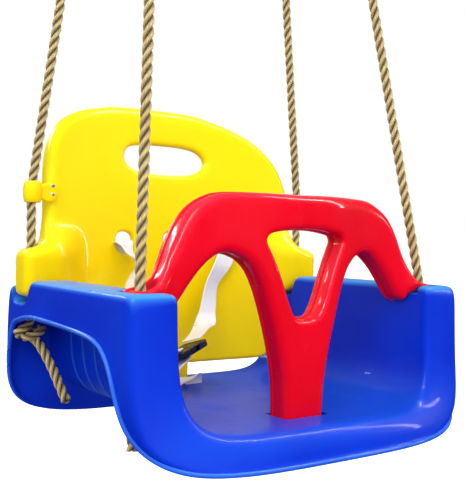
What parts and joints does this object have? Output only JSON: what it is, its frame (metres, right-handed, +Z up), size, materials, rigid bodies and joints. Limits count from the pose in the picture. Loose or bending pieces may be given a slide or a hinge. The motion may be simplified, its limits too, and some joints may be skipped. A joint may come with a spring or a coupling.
{
  "type": "toddler bucket swing",
  "caption": "Toddler swing seat: channel shell, dished high backrest, lift-up guard bar with leg post, harness and rope hangers.",
  "frame": {"origin": "the point midway between the four rope eyes, where the swing hangs", "axes": "+X to the right seen from in front, -Y is the front of the seat, +Z up"},
  "size_m": [0.433, 0.3697, 0.7063],
  "materials": {
    "blue_plastic": "glossy moulded plastic",
    "yellow_plastic": "glossy moulded plastic",
    "red_plastic": "glossy moulded plastic",
    "tan_rope": "three-strand twisted rope",
    "white_webbing": "woven webbing",
    "black_plastic": "satin moulded plastic",
    "chrome_screw": "bright plated steel"
  },
  "bodies": {
    "seat": {"backrest": "yellow_plastic", "buckle_body": "black_plastic", "crotch_strap": "white_webbing", "guide_screw_left_lower": "chrome_screw", "guide_screw_left_upper": "chrome_screw", "guide_screw_right_lower": "chrome_screw", "guide_screw_right_upper": "chrome_screw", "rope_eye_front_left": "tan_rope", "rope_eye_front_right": "tan_rope", "rope_eye_rear_left": "tan_rope", "rope_eye_rear_right": "tan_rope", "rope_front_left": "tan_rope", "rope_front_right": "tan_rope", "rope_guide_left": "yellow_plastic", "rope_guide_right": "yellow_plastic", "rope_knot_front_left": "tan_rope", "rope_knot_front_right": "tan_rope", "rope_knot_rear_left": "tan_rope", "rope_knot_rear_right": "tan_rope", "rope_rear_left": "tan_rope", "rope_rear_right": "tan_rope", "seat_shell": "blue_plastic", "shoulder_strap_left": "white_webbing", "shoulder_strap_right": "white_webbing"},
    "guard": {"guard_bar": "red_plastic"},
    "tongue": {"buckle_tongue": "black_plastic"}
  },
  "joints": [
    {"name": "guard_lift", "type": "slide", "parent": "seat", "child": "guard", "axis": [0, 0.1512, 0.9885], "range_m": [0, 0.1]},
    {"name": "buckle_release", "type": "slide", "parent": "seat", "child": "tongue", "axis": [-0.8264, -0.5469, -0.1337], "range_m": [0, 0.034], "deforming": ["shoulder_strap_left"]}
  ]
}
